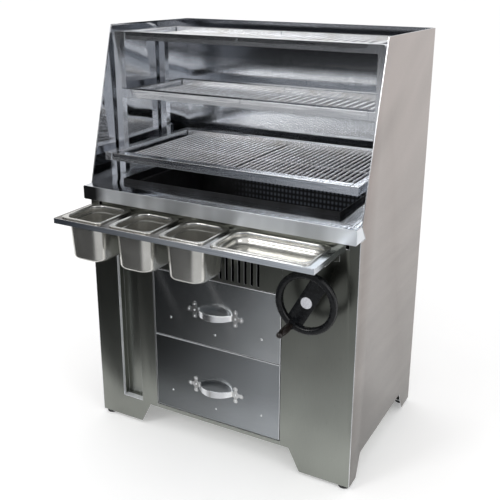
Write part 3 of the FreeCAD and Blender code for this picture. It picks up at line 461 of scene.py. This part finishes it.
def mirror_paint():
    """Polished back wall with a vertical grain, which blurs its reflections sideways, and a painted dark
    reflection on its upper part.
    """
    paint = Paint("mirror_sheet")
    paint.set(metallic=1.0, roughness=0.16, anisotropy=0.85)
    paint.grain_across(X=1.0)
    lines = paint.noise(paint.place(GRAIN["Z"]), scale=10.0, detail=3.0)
    patches = paint.noise(paint.place(), scale=3.0, detail=2.0)
    shine = paint.ramp(lines, [(0.3, tone(224, 227, 230)), (0.7, tone(244, 246, 250))])
    # Painted dark reflection: the wall is darker above about 1.27 m.
    shade = paint.mix(paint.between(paint.axis("Z"), 1.25, 1.29), WHITE, tone(160, 161, 164))
    paint.colour(paint.shaded(shine, shade))
    paint.bump(patches, 0.0003)
    return paint.material


def worktop_paint():
    """Top of the ledge, polished enough to show the bars above it."""
    return sheet_paint(
        "worktop", tone(196, 200, 205), tone(226, 230, 235), "X", 0.09, waves=0.0001, patch=6.0).material


def ledge_front_paint():
    """Front of the ledge: satin, with broad upright light bands of painted reflection and painted shade
    that darkens its left end.
    """
    paint = Paint("ledge_front")
    paint.set(metallic=0.8, roughness=0.36)
    # Painted reflections: broad upright light bands.
    bands = paint.noise(paint.place((1.0, 0.05, 0.05)), scale=7.0, detail=2.0)
    shine = paint.ramp(bands, [(0.35, tone(168, 171, 174)), (0.62, tone(226, 230, 234))])
    # Painted shade: the left end is dark.
    shade = paint.mix(paint.between(paint.axis("X"), -0.45, -0.4), tone(60, 60, 60), WHITE)
    paint.colour(paint.shaded(shine, shade))
    paint.bump(bands, 0.0002)
    return paint.material


def handle_paint():
    paint = Paint("polished_handle")
    paint.set(metallic=1.0, roughness=0.1)
    rub = paint.noise(paint.place(), scale=60.0, detail=3.0)
    paint.colour(paint.ramp(rub, [(0.3, tone(216, 216, 214)), (0.7, tone(240, 240, 240))]))
    paint.roughness(paint.between(rub, 0.3, 0.7, 0.06, 0.16))
    paint.bump(rub, 0.00004)
    return paint.material


def fastener_paint():
    paint = Paint("fastener")
    paint.set(metallic=1.0, roughness=0.16)
    rub = paint.noise(paint.place(), scale=300.0, detail=3.0)
    paint.colour(paint.ramp(rub, [(0.3, tone(214, 215, 218)), (0.7, tone(240, 241, 243))]))
    paint.bump(rub, 0.00002)
    return paint.material


def runner_paint():
    return sheet_paint("runner_steel", tone(160, 163, 165), tone(198, 200, 202), "Y", 0.4).material


def tube_paint():
    return sheet_paint(
        "polished_tube", tone(190, 194, 200), tone(236, 238, 242), "Z", 0.18, waves=0.0002,
        streaks=0.3).material


def grate_paint():
    """Round bars, partly diffuse and near white: a painted sheen that keeps them bright from every side."""
    paint = Paint("grate_steel")
    paint.set(metallic=0.75, roughness=0.26)
    stain_and_shade = paint.noise(paint.place(), scale=14.0, detail=3.0, rough=0.6)
    # Painted sheen: near white tones on the bars.
    paint.colour(paint.ramp(stain_and_shade, [
        (0.3, tone(222, 221, 218)), (0.5, tone(236, 237, 239)), (0.7, tone(244, 245, 248))]))
    paint.bump(stain_and_shade, 0.00003)
    return paint.material


def lip_paint():
    """Folded lips of the grates: mirror bright with level streaks."""
    paint = Paint("grate_lip")
    paint.set(metallic=1.0, roughness=0.14)
    streaks = paint.noise(paint.place((1.0, 8.0, 30.0)), scale=8.0, detail=3.0)
    paint.colour(paint.ramp(streaks, [(0.35, tone(186, 189, 194)), (0.65, tone(236, 238, 242))]))
    paint.bump(streaks, 0.00006)
    return paint.material


def tray_paint():
    """Tray: painted shade makes its top darker at the left end; its edges stay bright."""
    paint = sheet_paint("tray_steel", tone(176, 181, 188), tone(212, 216, 222), "X", 0.16, waves=0.0002)
    facing = paint.node("ShaderNodeTexCoord").outputs["Normal"]
    up = paint.node("ShaderNodeSeparateXYZ", Vector=facing).outputs["Z"]
    top = paint.between(up, 0.7, 0.9)
    # Painted shade on the top: dark at the left end, lighter to the right.
    stain_and_shade = paint.mix(paint.between(paint.axis("X"), -0.1, 0.4), tone(112, 108, 104), tone(214, 218, 224))
    plain = paint.shader.inputs["Base Color"].links[0].from_socket
    paint.colour(paint.mix(top, plain, stain_and_shade))
    return paint.material


def tray_front_paint():
    """Front edge of the tray: bluish, with painted shade that darkens it towards the left end."""
    paint = Paint("tray_front")
    paint.set(metallic=0.55, roughness=0.26)
    streaks = paint.noise(paint.place((1.0, 20.0, 60.0)), scale=9.0, detail=3.0)
    shine = paint.ramp(streaks, [(0.35, tone(176, 182, 190)), (0.65, tone(208, 214, 222))])
    # Painted shade: darker towards the left end.
    shade = paint.mix(paint.between(paint.axis("X"), -0.45, 0.4), tone(92, 96, 102), WHITE)
    paint.colour(paint.shaded(shine, shade))
    paint.bump(streaks, 0.00004)
    return paint.material


def fold_paint():
    """Folded edges, painted near white as a painted highlight that looks white from every side."""
    paint = Paint("folded_edge_highlight")
    paint.set(metallic=0.35, roughness=0.35)
    rub = paint.noise(paint.place(), scale=14.0, detail=2.0)
    paint.colour(paint.ramp(rub, [(0.35, tone(214, 217, 221)), (0.65, tone(238, 240, 243))]))
    paint.bump(rub, 0.00001)
    return paint.material


def pan_paint():
    """Drawn steel: satin, with faint drawing lines down the walls."""
    paint = Paint("pan_steel")
    paint.set(metallic=0.92, roughness=0.22)
    lines = paint.noise(paint.place(GRAIN["Z"]), scale=8.0, detail=3.0)
    patches = paint.noise(paint.place(), scale=18.0, detail=2.0)
    mixed = paint.blend(lines, patches, 0.3)
    paint.colour(paint.ramp(mixed, [(0.32, tone(198, 197, 192)), (0.68, tone(212, 211, 207))]))
    paint.roughness(paint.between(patches, 0.3, 0.7, 0.19, 0.25))
    paint.bump(patches, 0.00004)
    return paint.material


def painted_bar_reflections(paint):
    """Painted shadows and reflections of the bars on the firebox's rear wall, towards its right."""
    bar_pitch = 16.0 * MM
    row_pitch = 20.0 * MM
    bars = paint.wave(paint.axis("X"), bar_pitch)
    rows = paint.wave(paint.axis("Z"), row_pitch)
    right = paint.between(paint.axis("X"), -0.25, -0.05)
    rear = paint.between(paint.axis("Y"), 0.2, 0.25)
    return paint.math("MULTIPLY", paint.math("MULTIPLY", bars, rows), paint.math("MULTIPLY", right, rear))


def firebox_paint():
    paint = Paint("firebox_steel")
    paint.set(metallic=0.6, roughness=0.5)
    soot = paint.noise(paint.place(), scale=12.0, detail=5.0, rough=0.65)
    black = paint.ramp(soot, [
        (0.3, tone(14, 14, 15)), (0.6, tone(30, 31, 34)), (0.8, tone(56, 60, 66))])
    # Painted shadows and reflections of the bars, bluish grey on the black.
    paint.colour(paint.mix(painted_bar_reflections(paint), black, tone(110, 118, 130)))
    paint.roughness(paint.between(soot, 0.3, 0.7, 0.7, 0.4))
    paint.bump(soot, 0.0005)
    return paint.material


def board_paint():
    """Insulating boards, black with soot."""
    paint = Paint("fire_board")
    paint.set(roughness=0.6, specular=0.3)
    soot = paint.noise(paint.place(), scale=16.0, detail=6.0, rough=0.7)
    black = paint.ramp(soot, [
        (0.3, tone(15, 15, 16)), (0.6, tone(34, 34, 36)), (0.8, tone(66, 66, 68))])
    # Painted shadows and reflections of the bars, bluish grey on the black.
    paint.colour(paint.mix(painted_bar_reflections(paint), black, tone(112, 119, 130)))
    paint.bump(soot, 0.0012)
    return paint.material


def wheel_paint():
    paint = Paint("wheel_black")
    paint.set(roughness=0.24, specular=0.3)
    grit = paint.noise(paint.place(), scale=90.0, detail=3.0)
    paint.colour(paint.ramp(grit, [(0.35, tone(9, 10, 12)), (0.7, tone(20, 22, 25))]))
    paint.roughness(paint.between(grit, 0.3, 0.7, 0.18, 0.32))
    paint.bump(grit, 0.00008)
    return paint.material


def cap_paint():
    paint = Paint("cap_grey")
    paint.set(metallic=0.3, roughness=0.4)
    speckle = paint.noise(paint.place(), scale=500.0, detail=2.0)
    paint.colour(paint.ramp(speckle, [(0.35, tone(186, 188, 194)), (0.6, tone(220, 221, 227))]))
    paint.bump(speckle, 0.00005)
    return paint.material


def grip_paint():
    paint = Paint("grip_black")
    paint.set(roughness=0.22, specular=0.4)
    grit = paint.noise(paint.place(), scale=120.0, detail=3.0)
    paint.colour(paint.ramp(grit, [(0.35, tone(22, 18, 17)), (0.7, tone(38, 32, 30))]))
    paint.bump(grit, 0.00006)
    return paint.material


def turned_paint():
    """Turned and milled steel with fine tool marks and a film of oil."""
    paint = Paint("turned_steel")
    paint.set(metallic=1.0, roughness=0.3)
    marks = paint.noise(paint.place((40.0, 40.0, 40.0)), scale=20.0, detail=2.0)
    paint.colour(paint.ramp(marks, [(0.3, tone(176, 176, 176)), (0.7, tone(214, 214, 215))]))
    paint.bump(marks, 0.00003)
    return paint.material


def brass_paint():
    paint = Paint("bush_brass")
    paint.set(metallic=1.0, roughness=0.3)
    tarnish = paint.noise(paint.place(), scale=60.0, detail=4.0)
    paint.colour(paint.ramp(tarnish, [(0.3, tone(168, 138, 74)), (0.7, tone(214, 188, 120))]))
    paint.bump(tarnish, 0.00003)
    return paint.material


def foot_paint():
    paint = Paint("foot_black")
    paint.set(roughness=0.5)
    grit = paint.noise(paint.place(), scale=150.0, detail=3.0)
    paint.colour(paint.ramp(grit, [(0.3, tone(18, 18, 19)), (0.7, tone(38, 38, 40))]))
    paint.bump(grit, 0.0001)
    return paint.material


PAINTS = {
    "side_sheet": side_paint, "front_sheet": front_paint, "drawer_sheet": drawer_paint,
    "mirror_sheet": mirror_paint, "worktop": worktop_paint, "polished_handle": handle_paint,
    "fastener": fastener_paint, "runner_steel": runner_paint, "polished_tube": tube_paint,
    "grate_steel": grate_paint, "tray_steel": tray_paint, "pan_steel": pan_paint,
    "firebox_steel": firebox_paint, "fire_board": board_paint, "wheel_black": wheel_paint,
    "cap_grey": cap_paint, "grip_black": grip_paint, "turned_steel": turned_paint,
    "bush_brass": brass_paint, "foot_black": foot_paint}


# Pieces made from the CAD nodes

NODE_SLOT = {row["node"]: row["material_slot"] for row in frame["record"]["subparts"]}
NODE_BODY = {node: body for body, nodes in frame["record"]["behaviour"]["bodies"].items() for node in nodes}

# Slots whose cut edges keep their faces' paint instead of the painted edge highlight, and slots whose
# shortest edges stay sharp.
SAME_EDGE = {
    "firebox_steel", "fire_board", "wheel_black", "cap_grey", "grip_black", "foot_black", "bush_brass",
    "turned_steel", "grate_steel", "mirror_sheet"}
FINE_SLOTS = {"grate_steel", "firebox_steel"}


def finished(piece, node):
    """Puts a piece in the place of a CAD node, on its body, and hides the node."""
    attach(piece, NODE_BODY[node])
    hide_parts(node)


def rounded_copy(node, radius, paints, shortest=0.0, pick=None):
    """The node's own shape with its edges rounded.

    The first paint is for the faces, the second for rounded edges and the narrow cut edges of sheets.
    pick says from a face's middle and normal whether it takes the third one instead."""
    work = bmesh.new()
    work.from_mesh(frame["nodes"][node].data)
    bmesh.ops.remove_doubles(work, verts=work.verts, dist=SAME_POINT)
    bmesh.ops.dissolve_limit(work, angle_limit=FLAT_ANGLE, verts=work.verts, edges=work.edges)
    for face in work.faces:
        longest = max(edge.calc_length() for edge in face.edges)
        narrow = face.calc_area() < longest * SHEET_EDGE and longest > SHORT_FACE
        face.material_index = 1 if narrow else 0
        if pick and pick(face.calc_center_median(), face.normal):
            face.material_index = 2
        face.smooth = True
    edges = [
        edge for edge in work.edges
        if len(edge.link_faces) == 2 and edge.calc_face_angle(0.0) > CORNER_ANGLE
        and edge.calc_length() > shortest]
    bmesh.ops.bevel(
        work, geom=edges, offset=radius, offset_type="OFFSET", segments=2, profile=0.5,
        affect="EDGES", clamp_overlap=False, material=1)
    low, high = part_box(node)
    for vert in work.verts:
        for i in range(3):
            vert.co[i] = min(max(vert.co[i], low[i]), high[i])
    mesh = bpy.data.meshes.new(node)
    work.to_mesh(mesh)
    work.free()
    for paint in paints:
        mesh.materials.append(paint)
    mesh.set_sharp_from_angle(angle=SHADE_ANGLE)
    finished(add_object(node + "_dressed", mesh), node)


def rounded_rectangle(x0, x1, y0, y1, z, corner):
    """Points round a rectangle with round corners."""
    arc_steps = 8
    middle = Vector(((x0 + x1) / 2, (y0 + y1) / 2))
    half = Vector(((x1 - x0) / 2, (y1 - y0) / 2))
    points = []
    for turn, (sx, sy) in enumerate(((1, -1), (1, 1), (-1, 1), (-1, -1))):
        centre = middle + Vector((sx * (half.x - corner), sy * (half.y - corner)))
        end = math.radians(90 * turn)
        for i in range(arc_steps + 1):
            angle = end - math.radians(90) * (1 - i / arc_steps)
            points.append(centre + corner * Vector((math.cos(angle), math.sin(angle))))
    return [(point.x, point.y, z) for point in points]


def lofted(rings):
    """Faces between rings of points that follow one another, with both ends closed."""
    count = len(rings[0])
    verts = [point for ring in rings for point in ring]
    faces = []
    for row in range(len(rings) - 1):
        here = row * count
        above = here + count
        for i in range(count):
            j = (i + 1) % count
            faces.append((here + i, here + j, above + j, above + i))
    faces.append(tuple(reversed(range(count))))
    faces.append(tuple(range(len(verts) - count, len(verts))))
    return verts, faces


def arc(centre, radius, first, last, steps):
    """(inset, height) points of an arc; angles are degrees."""
    points = []
    for i in range(steps + 1):
        angle = math.radians(first + (last - first) * i / steps)
        points.append((centre[0] + radius * math.cos(angle), centre[1] + radius * math.sin(angle)))
    return points


def pan_piece(node, paint):
    """Drawn pan: a turned down edge, a flat rim, a rounded throat, a tapered tub and a round foot."""
    low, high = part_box(node)
    top = high.z
    sheet = 1.0 * MM
    skirt = 5.0 * MM
    edge_round = 2.0 * MM
    flange = 9.5 * MM
    throat_round = 5.0 * MM
    taper = 4.0 * MM
    foot = 15.0 * MM
    rim_corner = 16.0 * MM
    tub_corner = 38.0 * MM
    shoulder = 2.5 * MM
    crease = math.radians(40)
    depth = top - low.z
    shallow = 80.0 * MM
    shoulder_drop = 0.42 * depth if depth < shallow else 24.0 * MM
    foot_inset = flange + shoulder + taper + foot
    foot_height = low.z + sheet + foot
    inside = [(0.0, top - skirt)]
    inside += arc((edge_round, top - edge_round), edge_round, 180, 90, 4)
    inside += arc((flange - throat_round, top - throat_round), throat_round, 90, 4, 6)
    inside += [(flange, top - shoulder_drop), (flange + shoulder, top - shoulder_drop - shoulder)]
    inside += arc((foot_inset, foot_height), foot, 184, 270, 8)
    outside = [(sheet, top - skirt), (sheet, top - edge_round), (edge_round, top - sheet)]
    outside += arc((flange - throat_round, top - throat_round), throat_round - sheet, 90, 4, 6)
    outside += [(flange - sheet, top - shoulder_drop),
                (flange + shoulder - sheet, top - shoulder_drop - shoulder)]
    outside += arc((foot_inset, foot_height), foot + sheet, 184, 270, 8)
    rings = []
    for inset, height in list(reversed(inside)) + outside:
        share = min(1.0, inset / flange)
        corner = rim_corner + (tub_corner - rim_corner) * share
        rings.append(rounded_rectangle(
            low.x + inset, high.x - inset, low.y + inset, high.y - inset, height, corner))
    verts, faces = lofted(rings)
    mesh = bpy.data.meshes.new(node)
    mesh.from_pydata(verts, [], faces)
    turn_outwards(mesh)
    mesh.materials.append(paint)
    mesh.set_sharp_from_angle(angle=crease)
    finished(add_object(node + "_drawn", mesh), node)


def turn_outwards(mesh):
    """Smooth faces, all of which face outwards."""
    work = bmesh.new()
    work.from_mesh(mesh)
    bmesh.ops.recalc_face_normals(work, faces=work.faces)
    for face in work.faces:
        face.smooth = True
    work.to_mesh(mesh)
    work.free()


def inner_side(middle, normal):
    """The mirror side of a side panel is the one that faces the hood's inside, above the ledge."""
    faces_in = normal.x * middle.x < 0 and abs(normal.x) > 0.9
    return faces_in and middle.z > 0.5


def ledge_front(middle, normal):
    """The ledge's front and its slope take the satin paint, its flat top the polished one."""
    return normal.y < -0.3


def tray_front(middle, normal):
    """Every face of the tray that looks to the front."""
    return normal.y < -0.5


def lip_faces(node):
    """The lips are what lies near a grate's front and rear ends."""
    low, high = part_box(node)
    lip_depth = 26 * MM

    def near_an_end(middle, normal):
        return middle.y < low.y + lip_depth or middle.y > high.y - lip_depth

    return near_an_end


def add_niche_fold(paint):
    """Fold of the column front round the left and lower edge of the tool niche, with a painted highlight.
    """
    low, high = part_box("niche_liner")
    depth = 11 * MM
    thick = 1 * MM
    left = low.x + thick
    bottom = low.z + thick
    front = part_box("left_column_front")[0].y + thick
    upright = block(
        "niche_fold_upright", (left, front, bottom), (left + thick, front + depth, high.z - thick), paint)
    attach(upright, NODE_BODY["niche_liner"])
    level = block(
        "niche_fold_level", (left + thick, front, bottom),
        (high.x - thick, front + 2 * depth, bottom + thick), paint)
    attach(level, NODE_BODY["niche_liner"])


def block(name, low, high, paint):
    """Sheet strip between two corners, with its edges slightly rounded."""
    work = bmesh.new()
    bmesh.ops.create_cube(work, size=1.0)
    for vert in work.verts:
        for i in range(3):
            vert.co[i] = low[i] if vert.co[i] < 0 else high[i]
    bmesh.ops.bevel(
        work, geom=work.edges[:], offset=STRIP_ROUND, offset_type="OFFSET", segments=2, profile=0.5,
        affect="EDGES")
    mesh = bpy.data.meshes.new(name)
    work.to_mesh(mesh)
    work.free()
    mesh.materials.append(paint)
    return add_object(name, mesh)


def build_pieces():
    edge = edge_paint()
    mirror = inner_side_paint()
    satin = ledge_front_paint()
    lip = lip_paint()
    tray_edge = tray_front_paint()
    fold = fold_paint()
    paints = {slot: make() for slot, make in PAINTS.items()}
    add_niche_fold(fold)
    for node, slot in NODE_SLOT.items():
        if slot == "pan_steel":
            pan_piece(node, paints[slot])
            continue
        # The tray brackets take the darker front paint as painted shade, which hides them in the shadow
        # under the tray; the base plate takes it too.
        if node in ("base_plate", "tray_brackets"):
            slot = "front_sheet"
        face = paints[slot]
        pair = [face, face if slot in SAME_EDGE else edge]
        shortest = 2 * MM if slot in FINE_SLOTS else 0.0
        if node in ("left_side_panel", "right_side_panel"):
            rounded_copy(node, EDGE_ROUND, pair + [mirror], pick=inner_side)
        elif node == "front_ledge":
            rounded_copy(node, EDGE_ROUND, pair + [satin], pick=ledge_front)
        elif node.endswith("drawer_front"):
            # The drawer fronts' rounded edges take the painted highlight.
            rounded_copy(node, DRAWER_ROUND, [face, fold])
        elif node == "tray_frame":
            rounded_copy(node, EDGE_ROUND, pair + [tray_edge], pick=tray_front)
        elif node.endswith("_grate") and node != "fire_grate":
            rounded_copy(node, EDGE_ROUND, pair + [lip], shortest, pick=lip_faces(node))
        else:
            rounded_copy(node, EDGE_ROUND, pair, shortest)


def light_scene():
    add_world()
    add_floor()
    add_room()
    add_lamp("key", place=(-1.75, -3.9, 3.3), target=(0, 0, 0.9), size=(1.3, 1.3), watts=45.0)
    add_lamp("fill", place=(3.4, -1.6, 2.6), target=(0, 0, 0.8), size=(2.0, 2.0), watts=20.0)


bpy.context.scene.view_settings.view_transform = "Standard"
add_camera()
light_scene()
build_pieces()
